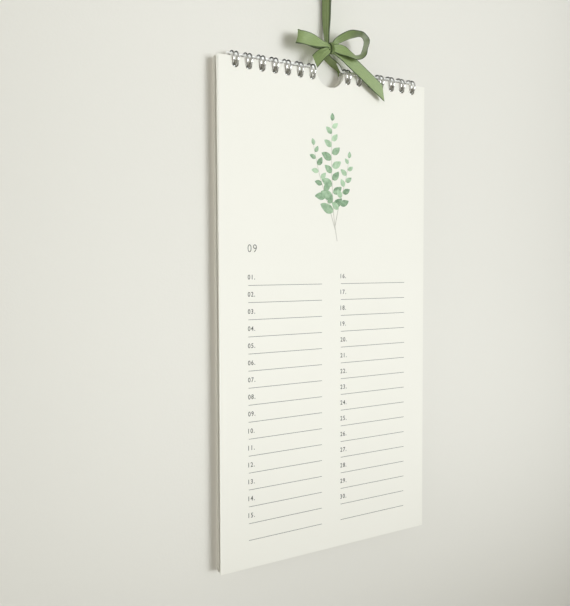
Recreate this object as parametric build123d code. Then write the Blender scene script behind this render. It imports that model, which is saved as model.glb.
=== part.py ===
from build123d import *
import math
import os

os.makedirs("parts", exist_ok=True)

# A wall calendar: two packs of card sheets on a twin-loop wire binding, hung by a ribbon.
# Millimetres. The origin is where the ribbon loop hangs from its nail: +Z up, back to +Y.

# Sheets
page_width = 148.0
page_height = 297.0
sheet_thickness = 0.3
front_sheet_count = 4
turned_sheet_count = 9
pack_gap = 2.4
sheet_shuffle = 0.18
thumb_radius = 9.75

# Punched holes
loop_pitch = 25.4 / 3
hole_slots = 16
middle_slots_left_out = 2
hole_diameter = 4.2
hole_to_top = 4.2

# Twin-loop wire
wire_diameter = 0.9
loop_radius = 4.3
twin_spacing = 2.7
spine_corner_radius = 0.7
spine_stub = 1.0
seam_clearance = 0.1
front_offset = 3.1

# Hanger wire
hanger_diameter = 1.4
hanger_length = 136.0
hanger_clearance = 0.05
hump_height = 10.3
hump_leg_slope = 58.0
hump_foot_clearance = 0.15
hump_base_bend = 1.4
hump_top_bend = 4.0

# Ribbon
axis_drop = 50.8
ribbon_width = 7.5
ribbon_thickness = 0.4
hang_loop_half = 1.7
hang_loop_bend = 1.4
hang_loop_foot = 0.7
knot_width = 3.6
knot_height = 6.6
knot_depth = 4.1
knot_round = 1.2
knot_rise = 1.8
knot_clearance = 0.4
bridge_height = 2.8
bridge_back = 4.2
left_bow_reach = 25.0
left_bow_half = 2.6
left_bow_rise = 5.0
right_bow_reach = 27.5
right_bow_half = 6.4
right_bow_rise = 13.0
right_bow_tilt = 38.0
long_tail_reach = 45.0
long_tail_fall = 30.0
long_tail_slant = 6.0
short_tail_reach = 17.0
short_tail_fall = 138.0
short_tail_slant = 1.9
back_fold_reach = 14.5
back_fold_fall = 51.0
tail_clearance = 0.4
tail_arch = 0.6


# Places worked out from the sizes
axis_z = -axis_drop
front_face_y = -front_offset
front_back_y = front_face_y + front_sheet_count * sheet_thickness
turned_face_y = front_back_y + pack_gap
turned_back_y = turned_face_y + turned_sheet_count * sheet_thickness
half_spacing = twin_spacing / 2
loop_outer = loop_radius + wire_diameter / 2

hanger_radius_in_loop = loop_radius - wire_diameter / 2 - hanger_diameter / 2 - hanger_clearance
hanger_z = axis_z + hanger_radius_in_loop
hump_top_z = hanger_z + hump_height
hump_foot_turn = math.radians(hump_leg_slope)

knot_z = hump_top_z + knot_rise
knot_back_y = -hanger_diameter / 2 - knot_clearance / 2
knot_front_y = knot_back_y - knot_depth
bridge_z = hump_top_z + hanger_diameter / 2 + knot_clearance + bridge_height / 2


def loop_height(y):
    """Height of the lower wire centre at a depth y from the loops' axis."""
    return axis_z - math.sqrt(loop_radius**2 - y**2)


def hole_height(face_y, back_y):
    """Height of a pack's holes: midway along the wire that runs through them."""
    return (loop_height(face_y) + loop_height(back_y)) / 2


def slot_places(first, last):
    """X of the punched slots from first to last."""
    middle = (hole_slots - 1) / 2
    return [(slot - middle) * loop_pitch for slot in range(first, last)]


side_slots = (hole_slots - middle_slots_left_out) // 2
left_loops = slot_places(0, side_slots)
right_loops = slot_places(hole_slots - side_slots, hole_slots)

first_leg_side = right_loops[0] - half_spacing - wire_diameter / 2
hump_foot_length = hump_base_bend * math.tan(hump_foot_turn / 2)
hump_base_half = first_leg_side - hump_foot_clearance - hump_foot_length
hump_top_half = hump_base_half - hump_height / math.tan(hump_foot_turn)


def page_pack(count, face_y, back_y):
    """Sheets lying on each other, a little out of line, with one row of holes through them."""
    hole_z = hole_height(face_y, back_y)
    top_z = hole_z + hole_to_top
    sheets = []
    for index in range(count):
        across = sheet_shuffle * math.sin(2.4 * index)
        down = -sheet_shuffle * abs(math.sin(1.7 * index))
        place = Pos(across, face_y + (index + 0.5) * sheet_thickness, top_z + down)
        sheet = Pos(0, 0, -page_height / 2) * Box(page_width, sheet_thickness, page_height)
        thumb_cut = Rot(90, 0, 0) * Cylinder(thumb_radius, 2 * sheet_thickness)
        sheets.append(place * (sheet - thumb_cut))
    pack = sheets[0].fuse(*sheets[1:])
    depth = 2 * (back_y - face_y)
    drill = Rot(90, 0, 0) * Cylinder(hole_diameter / 2, depth)
    drills = [Pos(x, (face_y + back_y) / 2, hole_z) * drill for x in left_loops + right_loops]
    return pack.cut(*drills)


def rod_along(path, diameter):
    """A round wire along one line or arc."""
    section = Plane(origin=path @ 0, z_dir=path % 0) * Circle(diameter / 2)
    return sweep(section, path=path)


def on_loop(x, angle):
    """A point on a loop, its angle turned from straight down towards the wall."""
    return Vector(x, loop_radius * math.sin(angle), axis_z - loop_radius * math.cos(angle))


def along_loop(angle):
    """The direction of the wire at that angle, towards the wall at the bottom of the loop."""
    return Vector(0, math.cos(angle), math.sin(angle))


def tip_angle(reach_y):
    """The angle where the straight legs end, so that the round tip reaches the depth reach_y."""
    low, high = -math.pi / 2, 0.0
    for _ in range(60):
        middle = (low + high) / 2
        reach = loop_radius * math.sin(middle) + half_spacing * math.cos(middle)
        if reach < reach_y:
            low = middle
        else:
            high = middle
    return low


spine_angle = math.asin(turned_face_y / loop_radius)
spine_y = turned_face_y - spine_corner_radius * math.cos(spine_angle)
tip_reach_y = spine_y - wire_diameter - seam_clearance
tip_start = tip_angle(tip_reach_y)


def loop_wire(x):
    """One twin loop: two round legs joined by a hairpin tip at the seam."""
    top = (spine_angle + tip_start + 2 * math.pi) / 2
    legs = []
    for side in (-half_spacing, half_spacing):
        start = on_loop(x + side, spine_angle)
        end = on_loop(x + side, tip_start)
        legs.append(rod_along(ThreePointArc(start, on_loop(x + side, top), end), wire_diameter))
    bend = on_loop(x, tip_start) + along_loop(tip_start) * half_spacing
    tip = ThreePointArc(on_loop(x - half_spacing, tip_start), bend, on_loop(x + half_spacing, tip_start))
    legs.append(rod_along(tip, wire_diameter))
    return legs


def spine_corner(x, side):
    """The bend from a leg into the spine, and the point where the straight spine starts."""
    start = on_loop(x + side * half_spacing, spine_angle)
    across = Vector(side, 0, 0)
    forward = along_loop(spine_angle) * -1
    centre = start + across * spine_corner_radius
    middle = centre + (forward - across) * (spine_corner_radius * math.sqrt(0.5))
    end = centre + forward * spine_corner_radius
    return rod_along(ThreePointArc(start, middle, end), wire_diameter), end


def comb(loops):
    """A length of the binding: one wire that runs through all its loops and along the spine."""
    pieces = []
    last_end = None
    for x in loops:
        pieces += loop_wire(x)
        left_bend, left_end = spine_corner(x, -1)
        right_bend, right_end = spine_corner(x, 1)
        stub_start = left_end - Vector(spine_stub, 0, 0)
        spine_start = stub_start if last_end is None else last_end
        pieces += [left_bend, right_bend, rod_along(Line(spine_start, left_end), wire_diameter)]
        last_end = right_end
    stub_end = last_end + Vector(spine_stub, 0, 0)
    pieces.append(rod_along(Line(last_end, stub_end), wire_diameter))
    return pieces[0].fuse(*pieces[1:])


def hanger_wire():
    """A straight wire inside the loops with a hump that stands up in the thumb cut."""
    half = hanger_length / 2
    corners = [
        (-half, 0, hanger_z),
        (-hump_base_half, 0, hanger_z),
        (-hump_top_half, 0, hump_top_z),
        (hump_top_half, 0, hump_top_z),
        (hump_base_half, 0, hanger_z),
        (half, 0, hanger_z),
    ]
    bends = [hump_base_bend, hump_top_bend, hump_top_bend, hump_base_bend]
    path = FilletPolyline(*corners, radius=bends)
    section = Plane(origin=path @ 0, z_dir=path % 0) * Circle(hanger_diameter / 2)
    return sweep(section, path=path)


def band(plane, points, radii):
    """A ribbon's band: its path lies in the plane, its width stands square to it."""
    path = plane * FilletPolyline(*points, radius=radii)
    start = Plane(origin=path @ 0, x_dir=plane.z_dir, z_dir=path % 0)
    return sweep(start * Rectangle(ribbon_width, ribbon_thickness), path=path)


def hang_loop():
    """The loop over the nail: two strands that open from the knot and close round the nail."""
    top = ribbon_thickness / 2
    foot = bridge_z
    shoulder = -2.2 * hang_loop_half
    points = [
        (-hang_loop_foot, foot),
        (-hang_loop_half, shoulder),
        (-hang_loop_half, top),
        (hang_loop_half, top),
        (hang_loop_half, shoulder),
        (hang_loop_foot, foot),
    ]
    plane = Plane(origin=(0, 0, 0), x_dir=(1, 0, 0), z_dir=(0, -1, 0))
    radii = [2 * hang_loop_bend, hang_loop_bend, hang_loop_bend, 2 * hang_loop_bend]
    return band(plane, points, radii)


def bow_plane(direction, rise, tilt):
    """A plane through the knot: its x runs out along the bow, its y across the loop."""
    angle = math.radians(rise)
    lean = math.radians(tilt)
    out = Vector(direction * math.cos(angle), 0, math.sin(angle))
    up = Vector(-direction * math.sin(angle), 0, math.cos(angle))
    across = up * math.cos(lean) + Vector(0, math.sin(lean), 0)
    return Plane(origin=(0, knot_front_y + knot_depth / 4, knot_z), x_dir=out, z_dir=out.cross(across))


def bow_loop(direction, rise, tilt, reach, half):
    """One loop of the bow, from the knot out to its round end and back."""
    points = [
        (0.6, -0.5),
        (0.45 * reach, -half),
        (0.8 * reach, -half),
        (reach, -0.5 * half),
        (reach, 0.5 * half),
        (0.8 * reach, half),
        (0.45 * reach, half),
        (0.6, 0.5),
    ]
    tight = 0.4 * half
    return band(bow_plane(direction, rise, tilt), points, [3 * tight, tight, tight, tight, tight, 3 * tight])


def tail(start, fall, reach, depths, slant=0.0):
    """A flat end of ribbon that runs down from the knot, its lower edge longer by the slant."""
    angle = math.radians(fall)
    along = Vector(math.cos(angle), 0, -math.sin(angle))
    plane = Plane(origin=start, x_dir=along, z_dir=along.cross(Vector(0, 1, 0)))
    steps = len(depths) - 1
    length = reach + slant / 2
    points = [(length * step / steps, depth) for step, depth in enumerate(depths)]
    whole = band(plane, points, [2 * ribbon_width] * (steps - 1))
    if slant == 0.0:
        return whole
    upper = Vector(0, 0, 1) - along * along.Z
    square = along + upper.normalized() * (slant / ribbon_width)
    place = Plane(origin=start + along * reach, x_dir=square, z_dir=Vector(0, 1, 0))
    block = 4 * ribbon_width
    return whole - place * Pos(block / 2, 0, 0) * Box(block, block, block)


def knot():
    """The tied middle: a soft block in front of the hanger, and the turn that passes over its hump."""
    front = fillet(Box(knot_width, knot_depth, knot_height).edges(), knot_round)
    front_middle_y = knot_front_y + knot_depth / 2
    bridge_depth = bridge_back - front_middle_y
    bridge = fillet(Box(0.8 * knot_width, bridge_depth, bridge_height).edges(), knot_round / 2)
    bridge_place = Pos(0, front_middle_y + bridge_depth / 2, bridge_z)
    return (Pos(0, front_middle_y, knot_z) * front).fuse(bridge_place * bridge)


loops_front_y = -loop_outer
long_tail_y = loops_front_y - tail_clearance - ribbon_thickness / 2
fold_y = hanger_diameter / 2 + 1.2

tail_start = Vector(0, 0, knot_z)
long_tail = tail(
    tail_start,
    long_tail_fall,
    long_tail_reach,
    [knot_front_y + 1, long_tail_y - tail_arch, long_tail_y],
    long_tail_slant,
)
short_tail = tail(
    tail_start,
    short_tail_fall,
    short_tail_reach,
    [knot_front_y + 1, long_tail_y - tail_arch, long_tail_y],
    short_tail_slant,
)
back_fold = tail(tail_start, back_fold_fall, back_fold_reach, [fold_y + 1, fold_y, fold_y + 0.6])

ribbon = knot().fuse(
    hang_loop(),
    bow_loop(-1, left_bow_rise, 90.0, left_bow_reach, left_bow_half),
    bow_loop(1, right_bow_rise, right_bow_tilt, right_bow_reach, right_bow_half),
    long_tail,
    short_tail,
    back_fold,
)

nodes = {
    "front_pages": page_pack(front_sheet_count, front_face_y, front_back_y),
    "turned_pages": page_pack(turned_sheet_count, turned_face_y, turned_back_y),
    "binding_wire_left": comb(left_loops),
    "binding_wire_right": comb(right_loops),
    "hanger": hanger_wire(),
    "ribbon": ribbon,
}

for name, solid in nodes.items():
    export_step(solid, "parts/" + name + ".step")
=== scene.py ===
"""A wall calendar: card sheets on twin-loop wire, hung by a satin ribbon tied in a bow.

Metres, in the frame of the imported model. The origin is where the ribbon hangs from its nail,
+Z is up and +Y runs back to the wall, so the printed sheets face -Y.
"""

import logging
import math
from dataclasses import dataclass, field
from enum import Enum

import bmesh
import bpy
from mathutils import Matrix, Vector


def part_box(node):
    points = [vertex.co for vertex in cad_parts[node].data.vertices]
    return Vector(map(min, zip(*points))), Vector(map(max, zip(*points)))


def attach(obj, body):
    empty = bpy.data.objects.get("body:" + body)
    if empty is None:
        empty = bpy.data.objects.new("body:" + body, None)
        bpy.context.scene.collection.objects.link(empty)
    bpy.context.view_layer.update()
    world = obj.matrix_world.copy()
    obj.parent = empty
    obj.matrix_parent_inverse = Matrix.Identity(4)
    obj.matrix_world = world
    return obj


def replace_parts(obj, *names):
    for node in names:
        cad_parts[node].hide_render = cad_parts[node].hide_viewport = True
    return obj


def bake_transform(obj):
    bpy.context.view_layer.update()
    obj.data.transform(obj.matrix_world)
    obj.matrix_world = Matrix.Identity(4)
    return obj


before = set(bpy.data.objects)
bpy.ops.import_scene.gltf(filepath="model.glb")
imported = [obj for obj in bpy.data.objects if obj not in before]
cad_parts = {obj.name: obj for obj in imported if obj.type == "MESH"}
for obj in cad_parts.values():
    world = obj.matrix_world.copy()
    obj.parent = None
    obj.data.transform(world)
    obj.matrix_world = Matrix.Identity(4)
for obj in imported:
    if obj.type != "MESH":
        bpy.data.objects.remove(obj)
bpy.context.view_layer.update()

LOG = logging.getLogger("calendar")
MM = 0.001
Colour = tuple[float, float, float]
Triple = tuple[float, float, float]


class Body(Enum):
    """The moving bodies of the calendar."""

    BINDING = "binding"
    FRONT = "front"
    TURNED = "turned"


class Slot(Enum):
    """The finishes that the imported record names."""

    CARD = "card"
    LOOPS = "binding_wire"
    HANGER = "hanger_wire"
    RIBBON = "satin"


def mm(point: Triple) -> Vector:
    """A point given in millimetres, in metres."""
    return Vector(point) * MM


def rgba(colour: Colour) -> tuple[float, float, float, float]:
    """The colour with full opacity."""
    return (*colour, 1.0)


class Nodes:
    """A node tree, with short ways to add nodes and link them."""

    def __init__(self, tree: bpy.types.NodeTree) -> None:
        """Keeps the tree that the nodes go into."""
        self.tree = tree

    def add(self, kind: str, inputs: dict | None = None, **settings: object) -> bpy.types.Node:
        """Adds a node.

        Args:
            kind: The node's type name.
            inputs: Values or sockets for its inputs, by name or place.
            **settings: The node's own settings.

        Returns:
            The new node.
        """
        node = self.tree.nodes.new(kind)
        for name, value in settings.items():
            setattr(node, name, value)
        for name, value in (inputs or {}).items():
            socket = node.inputs[name]
            if isinstance(value, bpy.types.NodeSocket):
                self.tree.links.new(value, socket)
            else:
                socket.default_value = value
        return node

    def math(self, operation: str, *values: object) -> bpy.types.NodeSocket:
        """Adds a Math node.

        Args:
            operation: What the node does, such as ADD.
            *values: Numbers or sockets, in the node's own order.

        Returns:
            The node's result.
        """
        node = self.add("ShaderNodeMath", dict(enumerate(values)), operation=operation)
        return node.outputs[0]

    def ramp(self, value: bpy.types.NodeSocket, start: float, end: float) -> bpy.types.NodeSocket:
        """A smooth step of the value.

        Args:
            value: The number that rises.
            start: Where the result is 0.
            end: Where the result is 1.

        Returns:
            A number from 0 to 1.
        """
        inputs = {"Value": value, "From Min": start, "From Max": end}
        return self.add("ShaderNodeMapRange", inputs, interpolation_type="SMOOTHSTEP").outputs[0]

    def mix(self, share: object, first: object, second: object) -> bpy.types.NodeSocket:
        """Mixes two colours.

        Args:
            share: How much of the second colour shows.
            first: A colour or socket.
            second: A colour or socket.

        Returns:
            The mixed colour.
        """
        node = self.add("ShaderNodeMix", {0: share, 6: first, 7: second}, data_type="RGBA")
        return node.outputs[2]

    def noise(self, place: bpy.types.NodeSocket, scale: object, detail: float = 3.0) -> bpy.types.NodeSocket:
        """Soft noise.

        Args:
            place: The coordinates that it follows.
            scale: How fine it is.
            detail: How many finer layers it has.

        Returns:
            A number from 0 to 1.
        """
        inputs = {"Vector": place, "Scale": scale, "Detail": detail}
        return self.add("ShaderNodeTexNoise", inputs).outputs["Fac"]


class EffectGroups:
    """The shared effects, each one shader node group that is built once."""

    @staticmethod
    def group(name: str, inputs: dict[str, object], outputs: dict[str, str]) -> tuple[Nodes, dict, dict] | None:
        """Starts a shader node group.

        Args:
            name: The group's name.
            inputs: Each input's name, with its first value or the word vector.
            outputs: Each output's name and socket type.

        Returns:
            The nodes, the input sockets and the output sockets by name, or None if it is there already.
        """
        if name in bpy.data.node_groups:
            return None
        tree = bpy.data.node_groups.new(name, "ShaderNodeTree")
        for label, value in inputs.items():
            kind = "NodeSocketVector" if value == "vector" else "NodeSocketFloat"
            kind = "NodeSocketColor" if isinstance(value, tuple) else kind
            socket = tree.interface.new_socket(label, in_out="INPUT", socket_type=kind)
            if value != "vector":
                socket.default_value = value
        for label, kind in outputs.items():
            tree.interface.new_socket(label, in_out="OUTPUT", socket_type=kind)
        nodes = Nodes(tree)
        into = nodes.add("NodeGroupInput")
        out = nodes.add("NodeGroupOutput")
        return nodes, dict(into.outputs.items()), dict(out.inputs.items())

    @classmethod
    def mottle(cls) -> bpy.types.NodeTree:
        """Uneven tone and a fine grain, as card, paint and plated wire have.

        Returns:
            The group, with the outputs Color and Height.
        """
        values = {"Place": "vector", "Color": (0.8, 0.8, 0.8, 1), "Cloud Scale": 20.0, "Grain Scale": 2500.0,
                  "Amount": 0.05}
        made = cls.group("mottle", values, {"Color": "NodeSocketColor", "Height": "NodeSocketFloat"})
        if made:
            nodes, into, out = made
            cloud = nodes.noise(into["Place"], into["Cloud Scale"], 4.0)
            grain = nodes.noise(into["Place"], into["Grain Scale"], 2.0)
            both = nodes.math("ADD", nodes.math("MULTIPLY", cloud, 0.6), nodes.math("MULTIPLY", grain, 0.4))
            centred = nodes.math("MULTIPLY", nodes.math("SUBTRACT", both, 0.5), into["Amount"])
            value = nodes.math("ADD", centred, 1.0)
            shaded = nodes.add("ShaderNodeHueSaturation", {"Value": value, "Color": into["Color"]})
            nodes.tree.links.new(shaded.outputs[0], out["Color"])
            nodes.tree.links.new(grain, out["Height"])
        return bpy.data.node_groups["mottle"]

    @classmethod
    def weave(cls) -> bpy.types.NodeTree:
        """Satin threads that run along a ribbon, with a bound edge on each side.

        Returns:
            The group, with the outputs Color, Height and Roughness.
        """
        values = {"Map": "vector", "Color": (0.2, 0.3, 0.1, 1), "Edge Color": (0.1, 0.2, 0.05, 1),
                  "Width": 0.0075, "Thread Scale": 5200.0}
        outputs = {"Color": "NodeSocketColor", "Height": "NodeSocketFloat", "Roughness": "NodeSocketFloat"}
        made = cls.group("weave", values, outputs)
        if made:
            nodes, into, out = made
            parts = nodes.add("ShaderNodeSeparateXYZ", {0: into["Map"]}).outputs
            side = nodes.math("ABSOLUTE", nodes.math("SUBTRACT", nodes.math("DIVIDE", parts[0], into["Width"]), 0.5))
            edge = nodes.ramp(side, 0.42, 0.475)
            warp = nodes.math("SINE", nodes.math("MULTIPLY", parts[0], into["Thread Scale"]))
            weft = nodes.math("SINE", nodes.math("MULTIPLY", parts[1], nodes.math("MULTIPLY", into["Thread Scale"], 0.45)))
            stretched = nodes.add("ShaderNodeCombineXYZ", {0: nodes.math("MULTIPLY", parts[0], 6.0), 1: parts[1]})
            slubs = nodes.noise(stretched.outputs[0], 340.0, 3.0)
            tone = nodes.math("ADD", 0.74, nodes.math("MULTIPLY", slubs, 0.52))
            body = nodes.add("ShaderNodeHueSaturation", {"Value": tone, "Color": into["Color"]}).outputs[0]
            nodes.tree.links.new(nodes.mix(edge, body, into["Edge Color"]), out["Color"])
            thread = nodes.math("ADD", nodes.math("MULTIPLY", warp, 0.35), nodes.math("MULTIPLY", weft, 0.15))
            ridge = nodes.math("ADD", thread, nodes.math("MULTIPLY", edge, 0.6))
            nodes.tree.links.new(ridge, out["Height"])
            rough = nodes.math("ADD", nodes.math("MULTIPLY", slubs, 0.12), nodes.math("MULTIPLY", edge, 0.15))
            nodes.tree.links.new(nodes.math("ADD", rough, 0.36), out["Roughness"])
        return bpy.data.node_groups["weave"]

    @classmethod
    def wash(cls) -> bpy.types.NodeTree:
        """Watercolour that pools along the edges and pales in the middle.

        Returns:
            The group, with the output Color.
        """
        values = {"Map": "vector", "Place": "vector", "Tone": 0.5, "Pale": (0.6, 0.75, 0.6, 1),
                  "Deep": (0.2, 0.35, 0.2, 1)}
        made = cls.group("wash", values, {"Color": "NodeSocketColor"})
        if made:
            nodes, into, out = made
            parts = nodes.add("ShaderNodeSeparateXYZ", {0: into["Map"]}).outputs
            blots = nodes.noise(into["Place"], 420.0, 4.0)
            rim_pool_and_painted_shade = nodes.ramp(nodes.math("ABSOLUTE", nodes.math("SUBTRACT", parts[0], 0.5)), 0.34, 0.5)
            half = nodes.ramp(parts[0], 0.40, 0.62)
            vein = nodes.ramp(nodes.math("ABSOLUTE", nodes.math("SUBTRACT", parts[0], 0.5)), 0.06, 0.0)
            pool = nodes.math("ADD", nodes.math("MULTIPLY", half, 0.42), nodes.math("MULTIPLY", rim_pool_and_painted_shade, 0.40))
            pool = nodes.math("ADD", pool, nodes.math("MULTIPLY", nodes.math("SUBTRACT", blots, 0.5), 1.1))
            pool = nodes.math("ADD", pool, nodes.math("MULTIPLY", nodes.math("SUBTRACT", into["Tone"], 0.5), 0.7))
            pool = nodes.math("ADD", pool, nodes.math("MULTIPLY", vein, 0.25))
            clamped = nodes.add("ShaderNodeClamp", {0: pool}).outputs[0]
            nodes.tree.links.new(nodes.mix(clamped, into["Pale"], into["Deep"]), out["Color"])
        return bpy.data.node_groups["wash"]


@dataclass(frozen=True)
class Finish:
    """What every finish has: a name and a material with one Principled shader."""

    name: str

    def start(self, **settings: object) -> tuple[bpy.types.Material, Nodes, bpy.types.Node]:
        """Starts the material.

        Args:
            **settings: Values for the shader's own sockets, with _ for a space.

        Returns:
            The material, its nodes and its Principled shader.
        """
        material = bpy.data.materials.new(self.name)
        material.use_nodes = True
        nodes = Nodes(material.node_tree)
        shader = material.node_tree.nodes["Principled BSDF"]
        for label, value in settings.items():
            shader.inputs[label.replace("_", " ")].default_value = value
        return material, nodes, shader

    def bump(self, nodes: Nodes, shader: bpy.types.Node, height: bpy.types.NodeSocket, depth: float) -> None:
        """Links a height to the shader's normal through a Bump node of that depth in metres."""
        bump = nodes.add("ShaderNodeBump", {"Height": height, "Distance": depth, "Strength": 1.0})
        nodes.tree.links.new(bump.outputs[0], shader.inputs["Normal"])


@dataclass(frozen=True)
class MottledFinish(Finish):
    """A solid material with uneven tone and grain: card, wall paint or wire; it can also carry painted shade that
    darkens its edges where they turn away from the view.
    """

    colour: Colour
    roughness: float
    metallic: float = 0.0
    clouds: float = 20.0
    grain: float = 2500.0
    amount: float = 0.05
    depth: float = 0.00002
    coat: float = 0.0
    see_through_back: bool = False
    # Painted shade: the colour the surface turns to where it faces away from the view, standing in for dark edges and
    # dark reflections.
    rim_pool_and_painted_shade: Colour | None = None

    def material(self) -> bpy.types.Material:
        """Builds the material.

        Returns:
            The new material.
        """
        material, nodes, shader = self.start(Roughness=self.roughness, Metallic=self.metallic,
                                             Coat_Weight=self.coat)
        place = nodes.add("ShaderNodeTexCoord").outputs["Object"]
        inputs = {"Place": place, "Color": rgba(self.colour), "Cloud Scale": self.clouds,
                  "Grain Scale": self.grain, "Amount": self.amount}
        mottle = nodes.add("ShaderNodeGroup", node_tree=EffectGroups.mottle())
        for label, value in inputs.items():
            if label == "Place":
                nodes.tree.links.new(value, mottle.inputs[label])
            else:
                mottle.inputs[label].default_value = value
        shade = mottle.outputs["Color"]
        # Painted shade: the base colour is mixed towards the dark colour by the Layer Weight facing value, so edges
        # turned from the view look shaded.
        if self.rim_pool_and_painted_shade:
            facing = nodes.add("ShaderNodeLayerWeight", {"Blend": 0.5}).outputs["Facing"]
            shade = nodes.mix(nodes.ramp(facing, 0.12, 0.55), shade, rgba(self.rim_pool_and_painted_shade))
        nodes.tree.links.new(shade, shader.inputs["Base Color"])
        self.bump(nodes, shader, mottle.outputs["Height"], self.depth)
        if self.see_through_back:
            clear = nodes.add("ShaderNodeBsdfTransparent")
            back = nodes.add("ShaderNodeNewGeometry").outputs["Backfacing"]
            mixed = nodes.add("ShaderNodeMixShader", {0: back, 1: shader.outputs[0], 2: clear.outputs[0]})
            surface = nodes.tree.nodes["Material Output"].inputs["Surface"]
            nodes.tree.links.new(mixed.outputs[0], surface)
        return material


@dataclass(frozen=True)
class SatinFinish(Finish):
    """Woven satin whose threads run along the piece's own UV map."""

    colour: Colour
    edge_colour: Colour
    width: float

    def material(self) -> bpy.types.Material:
        """Builds the material.

        Returns:
            The new material.
        """
        material, nodes, shader = self.start(Sheen_Weight=0.15, Sheen_Roughness=0.4, Specular_IOR_Level=0.42)
        place = nodes.add("ShaderNodeUVMap", uv_map="cloth").outputs[0]
        weave = nodes.add("ShaderNodeGroup", node_tree=EffectGroups.weave())
        nodes.tree.links.new(place, weave.inputs["Map"])
        weave.inputs["Color"].default_value = rgba(self.colour)
        weave.inputs["Edge Color"].default_value = rgba(self.edge_colour)
        weave.inputs["Width"].default_value = self.width
        nodes.tree.links.new(weave.outputs["Color"], shader.inputs["Base Color"])
        nodes.tree.links.new(weave.outputs["Roughness"], shader.inputs["Roughness"])
        self.bump(nodes, shader, weave.outputs["Height"], 0.00003)
        return material


@dataclass(frozen=True)
class WashFinish(Finish):
    """Printed watercolour on a leaf or stem, by its own UV map and tone attribute."""

    pale: Colour
    deep: Colour

    def material(self) -> bpy.types.Material:
        """Builds the material.

        Returns:
            The new material.
        """
        material, nodes, shader = self.start(Roughness=0.75, Specular_IOR_Level=0.3)
        wash = nodes.add("ShaderNodeGroup", node_tree=EffectGroups.wash())
        nodes.tree.links.new(nodes.add("ShaderNodeUVMap", uv_map="cloth").outputs[0], wash.inputs["Map"])
        nodes.tree.links.new(nodes.add("ShaderNodeTexCoord").outputs["Object"], wash.inputs["Place"])
        tone = nodes.add("ShaderNodeAttribute", attribute_name="tone")
        nodes.tree.links.new(tone.outputs["Fac"], wash.inputs["Tone"])
        wash.inputs["Pale"].default_value = rgba(self.pale)
        wash.inputs["Deep"].default_value = rgba(self.deep)
        nodes.tree.links.new(wash.outputs["Color"], shader.inputs["Base Color"])
        return material


CARD = MottledFinish("card", (0.778, 0.758, 0.697), 0.72, clouds=14.0, grain=2600.0, amount=0.035, depth=0.000012)
INK = MottledFinish("print_ink", (0.055, 0.057, 0.050), 0.6, clouds=300.0, grain=6000.0, amount=0.3, depth=0.000004)
# The plated loops get painted shade: their colour goes nearly black where the wire turns away from the view, standing
# in for its shaded edges and dark reflections.
LOOPS = MottledFinish("plated_loops", (0.86, 0.86, 0.85), 0.17, 1.0, 90.0, 3000.0, 0.10, 0.000003, rim_pool_and_painted_shade=(0.03, 0.03, 0.03))
ROD = MottledFinish("white_rod", (0.90, 0.90, 0.88), 0.35, 0.0, 60.0, 1800.0, 0.06, 0.000004, coat=0.4)
PAINT = MottledFinish("wall_paint", (0.705, 0.685, 0.638), 0.85, clouds=1.6, grain=900.0, amount=0.03,
                      depth=0.00005, see_through_back=True)
FLOOR = MottledFinish("floor", (0.66, 0.65, 0.62), 0.7, clouds=1.2, grain=400.0, amount=0.04, depth=0.00005)
SATIN = SatinFinish("satin", (0.231, 0.306, 0.121), (0.056, 0.086, 0.030), 0.0079)
LEAF = WashFinish("leaf_wash", (0.50, 0.66, 0.46), (0.060, 0.150, 0.070))
STEM = WashFinish("stem_wash", (0.52, 0.50, 0.44), (0.24, 0.23, 0.18))


class Shop:
    """Turns meshes and curves into finished pieces."""

    materials: dict[str, bpy.types.Material] = {}

    @classmethod
    def material(cls, finish: Finish) -> bpy.types.Material:
        """The finish's material, built the first time that it is asked for."""
        if finish.name not in cls.materials:
            cls.materials[finish.name] = finish.material()
        return cls.materials[finish.name]

    @staticmethod
    def place(name: str, data: bpy.types.ID) -> bpy.types.Object:
        """Puts data into the scene as an object at the origin."""
        piece = bpy.data.objects.new(name, data)
        bpy.context.scene.collection.objects.link(piece)
        return piece

    @staticmethod
    def flatten(piece: bpy.types.Object) -> bpy.types.Mesh:
        """Turns an object with its modifiers into a plain mesh, and removes the object.

        Args:
            piece: The object, which may be a curve or text.

        Returns:
            The mesh.
        """
        bpy.context.view_layer.update()
        graph = bpy.context.evaluated_depsgraph_get()
        mesh = bpy.data.meshes.new_from_object(piece.evaluated_get(graph), depsgraph=graph)
        bpy.data.objects.remove(piece)
        return mesh

    @classmethod
    def grow(cls, base: bpy.types.Mesh, tree: bpy.types.NodeTree, values: dict[str, object]) -> bpy.types.Mesh:
        """Runs a Geometry Nodes tree on a mesh.

        Args:
            base: The mesh that goes in.
            tree: The tree.
            values: The tree's inputs by name.

        Returns:
            The mesh that comes out.
        """
        seed = cls.place("grow", base)
        modifier = seed.modifiers.new("grow", "NODES")
        modifier.node_group = tree
        named = {item.name: item for item in tree.interface.items_tree if item.in_out == "INPUT"}
        for label, value in values.items():
            modifier[named[label].identifier] = value
        return cls.flatten(seed)

    @classmethod
    def finish(cls, name: str, mesh: bpy.types.Mesh, finish: Finish | None, body: Body, slot: Slot,
               smooth: float | None = None) -> bpy.types.Object:
        """Makes a piece that rides on a body.

        Args:
            name: The piece's name.
            mesh: Its mesh, in place.
            finish: Its finish, or None where the mesh has its materials.
            body: The body that it moves with.
            slot: The record's finish that it stands for; not used.
            smooth: The angle in degrees under which its faces are shaded smooth.

        Returns:
            The piece.
        """
        piece = cls.place(name, mesh)
        mesh.name = name
        if finish:
            mesh.materials.clear()
            mesh.materials.append(cls.material(finish))
        if smooth is not None:
            mesh.shade_flat()
            mesh.shade_smooth()
            mesh.set_sharp_from_angle(angle=math.radians(smooth))
        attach(piece, body.value)
        LOG.info("%s: %d faces on %s", name, len(mesh.polygons), body.value)
        return piece


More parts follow.
